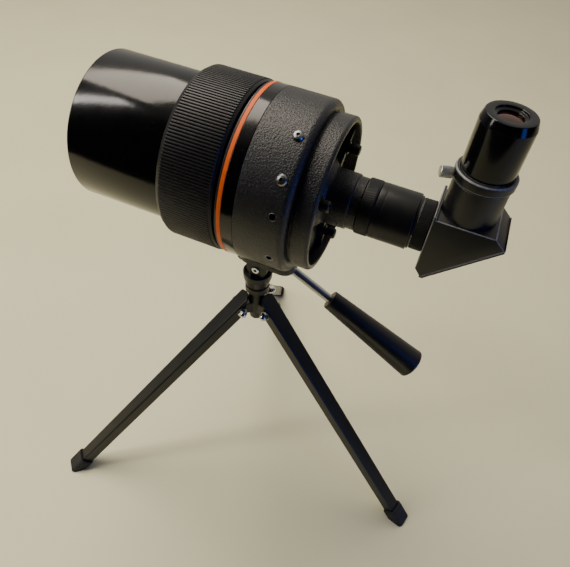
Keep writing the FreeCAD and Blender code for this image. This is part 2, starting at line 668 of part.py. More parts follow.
def leg_channel():
    """Folded channel leg, open on its underside, tapering to the foot."""
    half0 = LEG_W_TOP / 2.0
    half1 = LEG_W_END / 2.0
    d = LEG_DEPTH / 2.0
    low = -(LEG_LEN - 9.0)

    def slab(x0, x1, h0, h1, z0, z1):
        pts = [V(x0, -h0, z0), V(x0, h0, z0), V(x0, h1, z1), V(x0, -h1, z1), V(x0, -h0, z0)]
        return Part.Face(Part.makePolygon(pts)).extrude(V(x1 - x0, 0, 0))

    outer = slab(-d, d, half0, half1, LEG_TOP, low)
    rims = [e for e in outer.Edges if abs(e.BoundBox.XLength) < 0.01 and e.BoundBox.ZLength > 100]
    rims = [e for e in rims if e.BoundBox.XMin > d - 0.01]
    outer = outer.makeFillet(1.6, rims)
    inner = slab(-d - 1, d - LEG_WALL, half0 - LEG_WALL, half1 - LEG_WALL, LEG_TOP + 3.0, low - 3.0)
    shape = outer.cut(inner)
    # the side flanges end in a round eye about the hinge; only the face plate runs on
    trim = box(-d - 1, -10, 0, d - LEG_WALL, 10, LEG_TOP + 3.0)
    trim = trim.cut(rod(0, -10, 0, 5.0, 20, V(0, 1, 0)))
    shape = shape.cut(trim)
    tip = box(d - 3.0, -10, LEG_TOP - 9.0, d + 1.0, 10, LEG_TOP)
    tip = tip.cut(rod(d - 5.0, 0, LEG_TOP - 9.0, 9.0, 10.0, V(1, 0, 0)))
    shape = shape.cut(tip)
    shape = shape.cut(rod(0, -12, 0, 2.1, 24, V(0, 1, 0)))
    return shape.removeSplitter()


def leg_web():
    """Everything of the channel from the inside of its face outwards."""
    return box(LEG_DEPTH / 2.0 - LEG_WALL, -10.0, -LEG_LEN, LEG_DEPTH, 10.0, LEG_TOP + 1.0)


def leg_face(azimuth):
    """Face of the channel leg."""
    return to_leg(leg_channel().common(leg_web()), azimuth)


def leg_flanges(azimuth):
    """The two side flanges of the channel leg, with their hinge eyes."""
    return to_leg(leg_channel().cut(leg_web()), azimuth)


def rubber_foot(azimuth):
    """Rubber boot over the leg end, flat where it meets the table."""
    top = -(LEG_LEN - 13.0)
    low = -(LEG_LEN + 6.0)
    boot = box(-6.4, -8.1, low, 6.4, 8.1, top)
    uprights = [e for e in boot.Edges if e.BoundBox.ZLength > 10]
    boot = boot.makeFillet(3.4, uprights)
    rim = [e for e in boot.Edges if e.BoundBox.ZLength < 0.01 and e.BoundBox.ZMin < low + 0.1]
    boot = boot.makeFillet(3.0, rim)
    pocket = box(-5.05, -5.9, -(LEG_LEN - 8.9), 5.05, 5.9, top + 1.0)
    boot = boot.cut(pocket)
    boot = to_leg(boot, azimuth)
    return boot.cut(box(-300, -300, -60, 300, 300, 0))


def along_bolts(maker):
    """The same fastener at the three hinges; the first leg's is the other way round."""
    out = []
    for k, az in enumerate(LEG_AZ):
        piece = maker()
        if k == 0:
            piece.rotate(V(0, 0, 0), V(0, 0, 1), 180)
        piece.translate(V(PIVOT_RAD, 0, PIVOT_Z))
        piece.rotate(V(0, 0, 0), V(0, 0, 1), az)
        out.append(piece)
    return Part.makeCompound(out)


def one_bolt():
    """Hinge bolt along Y, round head on the +Y side."""
    shank = rod(0, -11.4, 0, 2.0, 19.6, V(0, 1, 0))
    head = lathe_z([(0, 0), (3.4, 0), (3.4, 0.5), (2.4, 1.7), (0, 2.1)])
    head.rotate(V(0, 0, 0), V(1, 0, 0), -90)
    head.translate(V(0, 8.1, 0))
    return shank.fuse(head)


def one_nut():
    """Acorn nut on the -Y side."""
    hexa = Part.makePolygon([V(3.7 * math.cos(math.radians(60 * i)), -8.9, 3.7 * math.sin(math.radians(60 * i)))
                             for i in range(7)])
    flats = Part.Face(hexa).extrude(V(0, -2.6, 0))
    dome = Part.makeSphere(3.1, V(0, -11.2, 0))
    nut = flats.fuse(dome)
    return nut.cut(rod(0, -11.6, 0, 2.02, 6, V(0, 1, 0)))


def one_washer():
    """Flat washer under the nut."""
    ring = rod(0, -8.85, 0, 4.3, 0.8, V(0, 1, 0))
    return ring.cut(rod(0, -10, 0, 2.1, 3, V(0, 1, 0)))


# ------------------------------------------------------------------ export
SCOPE_NODES = (
    ("front_tube", front_tube), ("corrector_cell", corrector_cell), ("corrector_lens", corrector_lens),
    ("corrector_retainer", corrector_retainer), ("secondary_spot", secondary_spot),
    ("secondary_baffle", secondary_baffle), ("focus_ring", focus_ring), ("rear_cell", rear_cell),
    ("back_plate", back_plate), ("rear_rim", rear_rim), ("neck_boss", neck_boss), ("back_webs", back_webs),
    ("trim_ring", trim_ring), ("stripe_ring", stripe_ring), ("gloss_band", gloss_band),
    ("helicoid_sleeve", helicoid_sleeve), ("button_screws", button_screws), ("back_knobs", back_knobs),
    ("mirror_support", mirror_support), ("primary_mirror", primary_mirror), ("primary_baffle", primary_baffle),
    ("visual_back", visual_back), ("back_lock_ring", back_lock_ring), ("diag_nosepiece", diag_nosepiece),
    ("diag_collar", diag_collar), ("diag_housing", diag_housing), ("diag_cover", diag_cover),
    ("diag_cover_screws", diag_cover_screws), ("diag_side_screws", diag_side_screws),
    ("diag_prism", diag_prism), ("prism_spring", prism_spring), ("eyepiece_holder", eyepiece_holder),
    ("thumb_screw", thumb_screw), ("eyepiece_body", eyepiece_body), ("eyepiece_barrel", eyepiece_barrel),
    ("eye_lens", eye_lens), ("field_lens", field_lens), ("field_stop", field_stop),
    ("grip_sheet", grip_sheet), ("camera_screw", camera_screw),
)
for node, maker in SCOPE_NODES:
    save(place(maker()), node)

STAND_NODES = (
    ("tilt_block", tilt_block), ("pan_cup", pan_cup), ("tilt_bolt", tilt_bolt), ("tilt_nut", tilt_nut),
    ("pan_screw", pan_screw), ("handle_rod", handle_rod), ("handle_grip", handle_grip),
    ("tripod_hub", tripod_hub),
)
for node, maker in STAND_NODES:
    save(maker(), node)

for number, azimuth in enumerate(LEG_AZ):
    save(leg_face(azimuth), "leg_" + str(number + 1))
    save(leg_flanges(azimuth), "leg_flanges_" + str(number + 1))
    save(rubber_foot(azimuth), "leg_foot_" + str(number + 1))

save(along_bolts(one_bolt), "leg_bolts")
save(along_bolts(one_nut), "leg_nuts")
save(along_bolts(one_washer), "leg_washers")
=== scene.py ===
"""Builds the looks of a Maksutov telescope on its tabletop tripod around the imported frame."""

import json
import math

import bmesh
import bpy
from bpy.props import FloatProperty, FloatVectorProperty, IntProperty, PointerProperty
from mathutils import Matrix, Vector


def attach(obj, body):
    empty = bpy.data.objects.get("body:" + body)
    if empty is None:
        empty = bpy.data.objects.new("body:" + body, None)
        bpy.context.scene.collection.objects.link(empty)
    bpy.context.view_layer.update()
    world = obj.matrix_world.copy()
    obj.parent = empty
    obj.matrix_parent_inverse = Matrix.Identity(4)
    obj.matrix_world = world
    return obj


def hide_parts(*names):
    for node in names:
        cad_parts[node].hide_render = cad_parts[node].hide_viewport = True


bl_info = {
    "name": "Maksutov Telescope Builder",
    "version": (1, 0, 0),
    "blender": (4, 5, 0),
    "location": "View3D > Sidebar > Telescope",
    "description": "Adds the detailed pieces and finishes of a small Maksutov telescope and its stand",
    "category": "Object",
}

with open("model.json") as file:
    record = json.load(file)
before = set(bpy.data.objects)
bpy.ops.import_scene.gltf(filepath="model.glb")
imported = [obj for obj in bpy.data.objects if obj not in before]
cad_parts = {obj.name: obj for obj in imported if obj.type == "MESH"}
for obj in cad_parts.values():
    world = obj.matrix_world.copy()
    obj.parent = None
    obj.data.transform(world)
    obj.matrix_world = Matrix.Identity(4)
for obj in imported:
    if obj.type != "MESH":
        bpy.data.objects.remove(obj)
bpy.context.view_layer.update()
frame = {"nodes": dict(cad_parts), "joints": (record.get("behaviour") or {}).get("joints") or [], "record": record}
MM = 0.001
RIM_TO_MOUNT = 35.0         # mm from the tube's rim to the mount on its outside
EYE_PLACE = 259.8           # mm from the tube's rim back to the eyepiece's axis
SHARP_PIECE = 38.0          # degrees; edges steeper than this stay crisp on the pieces made here
SHARP_NODE = 32.0           # the same for the carried-over nodes
ROUND_FACETS = 256          # around the front tube
SMALL_FACETS = 192          # around smaller smooth turned pieces
FLAT_DOT = 0.9995           # a face this near to an original one counts as flat
NEAR_HALF = 0.49            # share of a side that one rounded corner may take

JOINTS = {joint["name"]: joint for joint in frame["joints"]}
MOUNTS = {mount["name"]: mount for mount in frame["record"]["mounts"]}


# ---------------------------------------------------------------- places
def scope_matrix():
    """Telescope frame: X along the optical axis to the rear, Z up, origin at the front rim's centre."""
    axis = Vector(JOINTS["focus_turn"]["axis"]).normalized()
    up = Vector(JOINTS["eyepiece_slide"]["axis"]).normalized()
    side = up.cross(axis)
    tube_mid = Vector(MOUNTS["tube_outside"]["pos_m"])
    origin = tube_mid - axis * RIM_TO_MOUNT * MM
    basis = Matrix((axis, side, up)).transposed().to_4x4()
    return Matrix.Translation(origin) @ basis


SCOPE = scope_matrix()


def handle_matrix():
    """Handle frame: X down the rod towards the grip."""
    joint = JOINTS["handle_twist"]
    axis = Vector(joint["axis"]).normalized()
    side = Vector((0.0, 1.0, 0.0))
    up = axis.cross(side)
    basis = Matrix((axis, side, up)).transposed().to_4x4()
    return Matrix.Translation(Vector(joint["pos_m"])) @ basis


# ---------------------------------------------------------------- colours
def linear(code):
    """sRGB hex code to linear RGBA."""
    code = code.lstrip("#")
    out = []
    for i in (0, 2, 4):
        c = int(code[i:i + 2], 16) / 255.0
        out.append(c / 12.92 if c <= 0.04045 else ((c + 0.055) / 1.055) ** 2.4)
    return (out[0], out[1], out[2], 1.0)


def colour(name, label, code):
    """Colour property shown in the panel."""
    return FloatVectorProperty(name=name, description=label, subtype="COLOR", size=3, min=0.0, max=1.0,
                               default=linear(code)[:3])


def length(name, label, millimetres):
    """Length property stored in metres."""
    return FloatProperty(name=name, description=label, unit="LENGTH", subtype="DISTANCE", precision=5,
                         min=0.0, default=millimetres * MM)


class TelescopeSizes(bpy.types.PropertyGroup):
    """Sizes that a user would change."""

    tube_radius: length("Tube Radius", "Outer radius of the glossy front tube", 53.0)
    ring_radius: length("Ring Radius", "Outer radius of the ribbed focus ring", 60.8)
    ring_start: length("Ring Start", "Front edge of the focus ring behind the tube's rim", 71.0)
    ring_end: length("Ring End", "Rear edge of the focus ring", 111.2)
    rib_depth: length("Rib Depth", "Depth of the grooves between ribs", 0.85)
    ribs: IntProperty(name="Ribs", description="Ribs around the focus ring", default=180, min=40, max=260)
    grip_length: length("Grip Length", "Length of the pan handle's grip", 89.0)


class TelescopeColours(bpy.types.PropertyGroup):
    """Colours that a user would change."""

    tube: colour("Tube", "Gloss enamel of the front tube", "#060607")
    casting: colour("Casting", "Crinkle paint of the rear cell", "#1f1f21")
    stripe: colour("Stripe", "Lacquer of the accent stripe", "#f4691c")
    anodised: colour("Anodised", "Satin anodising of ring and visual back", "#131315")
    moulded: colour("Moulded", "Moulded plastic of grip and knobs", "#0e0e0f")
    floor: colour("Floor", "Table top", "#e2deb6")


def sizes():
    """The sizes in use."""
    return bpy.context.scene.telescope_sizes


def colours():
    """The colours in use."""
    return bpy.context.scene.telescope_colours


# ---------------------------------------------------------------- materials
def add(tree, kind, links=None, **settings):
    """Adds one node; settings name its sockets or attributes, links name sockets fed by other nodes."""
    made = tree.nodes.new(kind)
    for key, value in settings.items():
        label = key.replace("_", " ")
        if hasattr(made, key) and label not in made.inputs:
            setattr(made, key, value)
        else:
            made.inputs[label].default_value = value
    for label, socket in (links or {}).items():
        tree.links.new(socket, made.inputs[label])
    return made


def per(millimetres):
    """Texture scale whose features repeat about once in that many millimetres."""
    return 1.0 / (millimetres * MM)


def new_material(name):
    """Empty node material with its shader, output and object coordinates."""
    made = bpy.data.materials.new(name)
    made.use_nodes = True
    tree = made.node_tree
    tree.nodes.clear()
    shader = add(tree, "ShaderNodeBsdfPrincipled")
    add(tree, "ShaderNodeOutputMaterial", {"Surface": shader.outputs["BSDF"]})
    where = add(tree, "ShaderNodeTexCoord").outputs["Object"]
    return made, tree, shader, where


def ramp(tree, source, stops):
    """Colour ramp from (position, RGBA) stops."""
    made = add(tree, "ShaderNodeValToRGB", {"Fac": source})
    elements = made.color_ramp.elements
    while len(elements) < len(stops):
        elements.new(0.5)
    for element, (place, value) in zip(elements, stops):
        element.position = place
        element.color = value
    return made.outputs["Color"]


def grey(value):
    """Neutral RGBA."""
    return (value, value, value, 1.0)


def shade(rgb, factor):
    """A lighter or darker version of a colour."""
    return (min(rgb[0] * factor, 1.0), min(rgb[1] * factor, 1.0), min(rgb[2] * factor, 1.0), 1.0)


def rough_between(tree, source, shader, low, high):
    """Roughness that wanders between two values."""
    spread = add(tree, "ShaderNodeMapRange", {"Value": source}, To_Min=low, To_Max=high)
    tree.links.new(spread.outputs["Result"], shader.inputs["Roughness"])


def bump(tree, shader, height, strength, distance_mm, under=None):
    """Bump from a height pattern; distance is the real relief in millimetres."""
    links = {"Height": height}
    if under is not None:
        links["Normal"] = under
    made = add(tree, "ShaderNodeBump", links, Strength=strength, Distance=distance_mm * MM)
    tree.links.new(made.outputs["Normal"], shader.inputs["Normal"])
    return made.outputs["Normal"]


def edge_mask(tree, low, high):
    """White on rounded edges of the pieces made here, which carry edge wear and painted edge highlight as a mesh
    attribute.
    """
    worn = add(tree, "ShaderNodeAttribute", attribute_type="GEOMETRY", attribute_name="edge_wear_and_highlight")
    return ramp(tree, worn.outputs["Fac"], [(low, grey(0.0)), (high, grey(1.0))])


def mix(tree, factor, one, two):
    """Mixes two colours, each a socket or an RGBA value."""
    made = add(tree, "ShaderNodeMix", data_type="RGBA")
    tree.links.new(factor, made.inputs["Factor"])
    for name, value in (("A", one), ("B", two)):
        socket = [s for s in made.inputs if s.name == name and s.type == "RGBA"][0]
        if isinstance(value, bpy.types.NodeSocket):
            tree.links.new(value, socket)
        else:
            socket.default_value = value
    return [s for s in made.outputs if s.type == "RGBA"][0]


def gloss_enamel():
    """Stoved gloss enamel on drawn aluminium: deep black gloss, faint orange peel, dust, wipe marks."""
    made, tree, shader, where = new_material("stoved_gloss_enamel")
    base = colours().tube
    wipe = add(tree, "ShaderNodeTexNoise", {"Vector": where}, Scale=per(34.0), Detail=5.0, Roughness=0.62)
    dust = add(tree, "ShaderNodeTexNoise", {"Vector": where}, Scale=per(1.4), Detail=2.0)
    specks = ramp(tree, dust.outputs["Fac"], [(0.70, grey(0.0)), (0.76, grey(1.0))])
    body = mix(tree, specks, (*base, 1.0), linear("#2b2b2c"))
    tree.links.new(body, shader.inputs["Base Color"])
    rough_between(tree, wipe.outputs["Fac"], shader, 0.07, 0.22)
    peel = add(tree, "ShaderNodeTexNoise", {"Vector": where}, Scale=per(4.5), Detail=1.0)
    bump(tree, shader, peel.outputs["Fac"], 0.22, 0.14)
    shader.inputs["Specular IOR Level"].default_value = 0.42
    return made


def eyepiece_gloss():
    """Hard-anodised and polished eyepiece barrel: clear black gloss with hairline handling marks."""
    made, tree, shader, where = new_material("polished_black_anodise")
    smear = add(tree, "ShaderNodeTexNoise", {"Vector": where}, Scale=per(11.0), Detail=4.0)
    hair = add(tree, "ShaderNodeTexNoise", {"Vector": where}, Scale=per(0.8), Detail=2.0)
    tone = ramp(tree, smear.outputs["Fac"], [(0.3, linear("#060608")), (0.75, linear("#0e0f12"))])
    # rounded edges turn a bluish lighter grey: painted edge highlight
    edge = edge_mask(tree, 0.2, 1.0)
    tree.links.new(mix(tree, edge, tone, linear("#1c1f26")), shader.inputs["Base Color"])
    rough_between(tree, smear.outputs["Fac"], shader, 0.08, 0.20)
    bump(tree, shader, hair.outputs["Fac"], 0.06, 0.02)
    shader.inputs["Specular IOR Level"].default_value = 0.26
    return made


def crinkle_paint():
    """Stoved crinkle paint on a die casting: shallow grains a millimetre across that catch the light."""
    made, tree, shader, where = new_material("stoved_crinkle_paint")
    base = colours().casting
    grain = add(tree, "ShaderNodeTexVoronoi", {"Vector": where}, Scale=per(1.15), feature="SMOOTH_F1",
                Smoothness=0.55, Randomness=1.0)
    fine = add(tree, "ShaderNodeTexNoise", {"Vector": where}, Scale=per(0.55), Detail=3.0, Roughness=0.6)
    patch = add(tree, "ShaderNodeTexNoise", {"Vector": where}, Scale=per(26.0), Detail=4.0)
    height = add(tree, "ShaderNodeMath", {0: grain.outputs["Distance"], 1: fine.outputs["Fac"]},
                 operation="MULTIPLY")
    tone = ramp(tree, grain.outputs["Distance"], [(0.05, shade(base, 1.35)), (0.45, shade(base, 0.75))])
    worn = mix(tree, patch.outputs["Fac"], tone, shade(base, 0.9))
    # rounded edges 2.2 times lighter: painted edge highlight, with some rubbed wear
    edge = edge_mask(tree, 0.15, 1.0)
    rubbed = mix(tree, edge, worn, shade(base, 2.2))
    tree.links.new(rubbed, shader.inputs["Base Color"])
    rough_between(tree, patch.outputs["Fac"], shader, 0.30, 0.46)
    bump(tree, shader, height.outputs["Value"], 1.0, 0.42)
    shader.inputs["IOR"].default_value = 1.5
    return made


def satin_anodise(name, gloss=0.0, lightness=1.0):
    """Black anodised aluminium: turned, then dyed, so it keeps a soft metal sheen and fine tool lines."""
    made, tree, shader, where = new_material(name)
    base = colours().anodised
    cloud = add(tree, "ShaderNodeTexNoise", {"Vector": where}, Scale=per(12.0), Detail=4.0)
    stretch = add(tree, "ShaderNodeMapping", {"Vector": where}, Scale=(per(0.25), per(9.0), per(9.0)))
    lines = add(tree, "ShaderNodeTexNoise", {"Vector": stretch.outputs["Vector"]}, Scale=1.0, Detail=2.0)
    dark, light = shade(base, 0.85 * lightness), shade(base, 1.25 * lightness)
    tone = ramp(tree, cloud.outputs["Fac"], [(0.3, dark), (0.7, light)])
    # rounded edges 3.2 times lighter: painted edge highlight, with some rubbed wear
    edge = edge_mask(tree, 0.15, 1.0)
    rubbed = mix(tree, edge, tone, shade(base, 3.2 * lightness))
    tree.links.new(rubbed, shader.inputs["Base Color"])
    rough_between(tree, cloud.outputs["Fac"], shader, 0.36 - gloss, 0.50 - gloss)
    bump(tree, shader, lines.outputs["Fac"], 0.10, 0.03)
    shader.inputs["Metallic"].default_value = 0.25
    return made


def flat_black():
    """Matt optical black inside the tube: sprayed, with a dusty nap that swallows light."""
    made, tree, shader, where = new_material("sprayed_optical_black")
    nap = add(tree, "ShaderNodeTexNoise", {"Vector": where}, Scale=per(0.9), Detail=3.0)
    tone = ramp(tree, nap.outputs["Fac"], [(0.3, linear("#0a0a0b")), (0.8, linear("#19191a"))])
    tree.links.new(tone, shader.inputs["Base Color"])
    rough_between(tree, nap.outputs["Fac"], shader, 0.75, 0.9)
    bump(tree, shader, nap.outputs["Fac"], 0.3, 0.08)
    return made


def stripe_lacquer():
    """Orange lacquer in a turned groove: even, half gloss, with slight brush-out along the ring."""
    made, tree, shader, where = new_material("orange_fill_lacquer")
    base = colours().stripe
    flow = add(tree, "ShaderNodeTexNoise", {"Vector": where}, Scale=per(7.0), Detail=3.0)
    tone = ramp(tree, flow.outputs["Fac"], [(0.3, shade(base, 0.88)), (0.7, shade(base, 1.08))])
    tree.links.new(tone, shader.inputs["Base Color"])
    rough_between(tree, flow.outputs["Fac"], shader, 0.40, 0.55)
    bump(tree, shader, flow.outputs["Fac"], 0.1, 0.05)
    shader.inputs["Specular IOR Level"].default_value = 0.3
    return made


def bright_steel(name, dark=1.0):
    """Machine steel of screws: lightly brushed, with small dark pits."""
    made, tree, shader, where = new_material(name)
    brush = add(tree, "ShaderNodeTexNoise", {"Vector": where}, Scale=per(0.5), Detail=4.0, Roughness=0.7)
    low, high = shade(linear("#8b8c8e"), dark), shade(linear("#c3c3c4"), dark)
    tone = ramp(tree, brush.outputs["Fac"], [(0.3, low), (0.65, high)])
    tree.links.new(tone, shader.inputs["Base Color"])
    rough_between(tree, brush.outputs["Fac"], shader, 0.22, 0.40)
    bump(tree, shader, brush.outputs["Fac"], 0.15, 0.03)
    shader.inputs["Metallic"].default_value = 1.0
    return made


def chrome_plate():
    """Bright chrome plate: mirror-like, with hazy patches and hairline scratches along the part."""
    made, tree, shader, where = new_material("bright_chrome_plate")
    haze = add(tree, "ShaderNodeTexNoise", {"Vector": where}, Scale=per(9.0), Detail=5.0)
    scratch = add(tree, "ShaderNodeTexNoise", {"Vector": where}, Scale=per(0.7), Detail=3.0)
    tone = ramp(tree, haze.outputs["Fac"], [(0.3, linear("#c9cbce")), (0.7, linear("#e6e7e8"))])
    tree.links.new(tone, shader.inputs["Base Color"])
    rough_between(tree, haze.outputs["Fac"], shader, 0.07, 0.18)
    bump(tree, shader, scratch.outputs["Fac"], 0.05, 0.01)
    shader.inputs["Metallic"].default_value = 1.0
    return made


def moulded_plastic():
    """Injection-moulded black plastic: satin, with a fine spark-eroded grain."""
    made, tree, shader, where = new_material("moulded_black_plastic")
    base = colours().moulded
    grain = add(tree, "ShaderNodeTexNoise", {"Vector": where}, Scale=per(0.6), Detail=3.0)
    patch = add(tree, "ShaderNodeTexNoise", {"Vector": where}, Scale=per(20.0), Detail=3.0)
    tone = ramp(tree, patch.outputs["Fac"], [(0.3, shade(base, 0.85)), (0.75, shade(base, 1.3))])
    # rounded edges 2.6 times lighter: painted edge highlight, with some rubbed wear
    edge = edge_mask(tree, 0.15, 1.0)
    tree.links.new(mix(tree, edge, tone, shade(base, 2.6)), shader.inputs["Base Color"])
    rough_between(tree, patch.outputs["Fac"], shader, 0.34, 0.50)
    bump(tree, shader, grain.outputs["Fac"], 0.22, 0.05)
    shader.inputs["IOR"].default_value = 1.53
    return made


def worn_black_paint(name, low, high, wear):
    """Black paint on metal: satin with light orange peel, rubbed through to bright metal along the edges."""
    made, tree, shader, where = new_material(name)
    peel = add(tree, "ShaderNodeTexNoise", {"Vector": where}, Scale=per(2.2), Detail=2.0)
    patch = add(tree, "ShaderNodeTexNoise", {"Vector": where}, Scale=per(15.0), Detail=5.0, Roughness=0.65)
    chip = add(tree, "ShaderNodeTexNoise", {"Vector": where}, Scale=per(1.8), Detail=4.0, Roughness=0.7)
    tone = ramp(tree, patch.outputs["Fac"], [(0.3, linear("#0b0b0d")), (0.75, linear("#141417"))])
    edge = edge_mask(tree, 0.1, wear)
    broken = add(tree, "ShaderNodeMath", {0: edge, 1: chip.outputs["Fac"]}, operation="MULTIPLY")
    rubbed = mix(tree, broken.outputs["Value"], tone, linear("#a7a8aa"))
    tree.links.new(rubbed, shader.inputs["Base Color"])
    rough_between(tree, patch.outputs["Fac"], shader, low, high)
    bump(tree, shader, peel.outputs["Fac"], 0.14, 0.06)
    shader.inputs["IOR"].default_value = 1.5
    return made


def boot_rubber():
    """Moulded black rubber: matt, with grey scuffs."""
    made, tree, shader, where = new_material("moulded_boot_rubber")
    scuff = add(tree, "ShaderNodeTexNoise", {"Vector": where}, Scale=per(5.0), Detail=6.0, Roughness=0.7)
    pore = add(tree, "ShaderNodeTexNoise", {"Vector": where}, Scale=per(0.7), Detail=2.0)
    tone = ramp(tree, scuff.outputs["Fac"], [(0.35, linear("#131314")), (0.7, linear("#2c2b2a"))])
    tree.links.new(tone, shader.inputs["Base Color"])
    rough_between(tree, scuff.outputs["Fac"], shader, 0.62, 0.85)
    bump(tree, shader, pore.outputs["Fac"], 0.3, 0.06)
    return made


def coated_glass(name, tint, reflect):
    """Optical glass with a vacuum-deposited coating that tints what it reflects."""
    made, tree, shader, where = new_material(name)
    haze = add(tree, "ShaderNodeTexNoise", {"Vector": where}, Scale=per(6.0), Detail=4.0)
    tone = ramp(tree, haze.outputs["Fac"], [(0.3, linear(tint)), (0.7, shade(linear(tint), 0.9))])
    tree.links.new(tone, shader.inputs["Base Color"])
    rough_between(tree, haze.outputs["Fac"], shader, 0.01, 0.04)
    shader.inputs["Transmission Weight"].default_value = 0.85
    shader.inputs["IOR"].default_value = 1.517
    shader.inputs["Coat Weight"].default_value = 1.0
    shader.inputs["Coat Roughness"].default_value = 0.02
    shader.inputs["Coat Tint"].default_value = linear(reflect)
    return made


def mirror_coat():
    """Aluminised glass: near-perfect mirror with a trace of haze."""
    made, tree, shader, where = new_material("vacuum_aluminised_mirror")
    haze = add(tree, "ShaderNodeTexNoise", {"Vector": where}, Scale=per(18.0), Detail=4.0)
    tone = ramp(tree, haze.outputs["Fac"], [(0.3, linear("#e4e6e8")), (0.7, linear("#f1f2f3"))])
    tree.links.new(tone, shader.inputs["Base Color"])
    rough_between(tree, haze.outputs["Fac"], shader, 0.01, 0.03)
    shader.inputs["Metallic"].default_value = 1.0
    return made


def pressed_felt():
    """Black pressed felt: short fibres, no shine."""
    made, tree, shader, where = new_material("pressed_black_felt")
    fibre = add(tree, "ShaderNodeTexNoise", {"Vector": where}, Scale=per(0.4), Detail=6.0, Roughness=0.75)
    tone = ramp(tree, fibre.outputs["Fac"], [(0.3, linear("#0d0d0d")), (0.7, linear("#262626"))])
    tree.links.new(tone, shader.inputs["Base Color"])
    rough_between(tree, fibre.outputs["Fac"], shader, 0.9, 1.0)
    bump(tree, shader, fibre.outputs["Fac"], 0.6, 0.15)
    return made


def table_laminate():
    """Pale table laminate: nearly even, with a faint cloud and a soft sheen."""
    made, tree, shader, where = new_material("pale_table_laminate")
    base = colours().floor
    cloud = add(tree, "ShaderNodeTexNoise", {"Vector": where}, Scale=per(160.0), Detail=4.0)
    tone = ramp(tree, cloud.outputs["Fac"], [(0.3, shade(base, 0.97)), (0.7, shade(base, 1.03))])
    tree.links.new(tone, shader.inputs["Base Color"])
    rough_between(tree, cloud.outputs["Fac"], shader, 0.45, 0.55)
    return made


FINISHES = {}


def finish(name):
    """Each material is made once and then shared."""
    if name not in FINISHES:
        FINISHES[name] = MAKERS[name]()
    return FINISHES[name]


MAKERS = {
    "gloss_enamel": gloss_enamel,
    "eyepiece_gloss": eyepiece_gloss,
    "crinkle_paint": crinkle_paint,
    "ring_anodise": lambda: satin_anodise("ring_satin_anodise"),
    "back_anodise": lambda: satin_anodise("visual_back_anodise", 0.05, 0.9),
    # the trim ring gets a 3.6 times lighter copy of the black anodise: painted highlight on that narrow ring
    "trim_painted_highlight": lambda: satin_anodise("trim_ring_painted_highlight_anodise", 0.06, 3.6),
    "flat_black": flat_black,
    "stripe_lacquer": stripe_lacquer,
    "screw_steel": lambda: bright_steel("machine_screw_steel", 0.55),
    "chrome_plate": chrome_plate,
    "nickel_rod": lambda: bright_steel("brushed_nickel_rod", 1.15),
    "moulded_plastic": moulded_plastic,
    "leg_paint": lambda: worn_black_paint("stoved_leg_paint", 0.30, 0.44, 1.0),
    "box_paint": lambda: worn_black_paint("worn_prism_box_paint", 0.30, 0.48, 0.8),
    "head_paint": lambda: worn_black_paint("stand_head_paint", 0.34, 0.50, 1.0),
    "boot_rubber": boot_rubber,
    "lens_glass": lambda: coated_glass("green_coated_corrector", "#dfeee8", "#8fd0b0"),
    "eye_glass": lambda: coated_glass("amber_coated_eye_lens", "#7a5a3c", "#c08048"),
    "mirror_coat": mirror_coat,
    "pressed_felt": pressed_felt,
}

NODE_FINISH = {
    "front_tube": "gloss_enamel", "corrector_cell": "flat_black", "corrector_lens": "lens_glass",
    "corrector_retainer": "flat_black", "secondary_spot": "mirror_coat", "secondary_baffle": "flat_black",
    "focus_ring": "ring_anodise", "rear_cell": "crinkle_paint", "back_plate": "crinkle_paint",
    "rear_rim": "crinkle_paint", "neck_boss": "crinkle_paint", "back_webs": "crinkle_paint",
    "trim_ring": "trim_painted_highlight",
    "stripe_ring": "stripe_lacquer", "gloss_band": "gloss_enamel", "helicoid_sleeve": "flat_black",
    "button_screws": "screw_steel", "back_knobs": "moulded_plastic", "mirror_support": "flat_black",
    "primary_mirror": "mirror_coat", "primary_baffle": "flat_black", "visual_back": "back_anodise",
    "back_lock_ring": "back_anodise", "diag_nosepiece": "chrome_plate", "diag_collar": "back_anodise",
    "diag_housing": "box_paint", "diag_cover": "box_paint", "diag_cover_screws": "screw_steel",
    "diag_side_screws": "screw_steel", "diag_prism": "lens_glass", "prism_spring": "pressed_felt",
    "eyepiece_holder": "box_paint", "thumb_screw": "nickel_rod", "eyepiece_body": "eyepiece_gloss",
    "eyepiece_barrel": "chrome_plate", "eye_lens": "eye_glass", "field_lens": "lens_glass",
    "field_stop": "flat_black", "grip_sheet": "boot_rubber", "camera_screw": "screw_steel",
    "tilt_block": "head_paint", "pan_cup": "head_paint", "tilt_bolt": "chrome_plate",
    "tilt_nut": "screw_steel", "pan_screw": "screw_steel", "handle_rod": "nickel_rod",
    "handle_grip": "moulded_plastic", "tripod_hub": "head_paint", "leg_1": "leg_paint", "leg_2": "leg_paint",
    "leg_3": "leg_paint", "leg_flanges_1": "leg_paint", "leg_flanges_2": "leg_paint",
    "leg_flanges_3": "leg_paint", "leg_foot_1": "boot_rubber", "leg_foot_2": "boot_rubber",
    "leg_foot_3": "boot_rubber", "leg_bolts": "screw_steel", "leg_nuts": "chrome_plate",
    "leg_washers": "screw_steel",
}


# ---------------------------------------------------------------- mesh tools
BODY_OF = {node: body for body, nodes in frame["record"]["behaviour"]["bodies"].items() for node in nodes}
TURN_UP = Matrix.Rotation(-math.pi / 2, 4, "Y")
EYE_AXIS = SCOPE @ Matrix.Translation((EYE_PLACE * MM, 0.0, 0.0)) @ TURN_UP


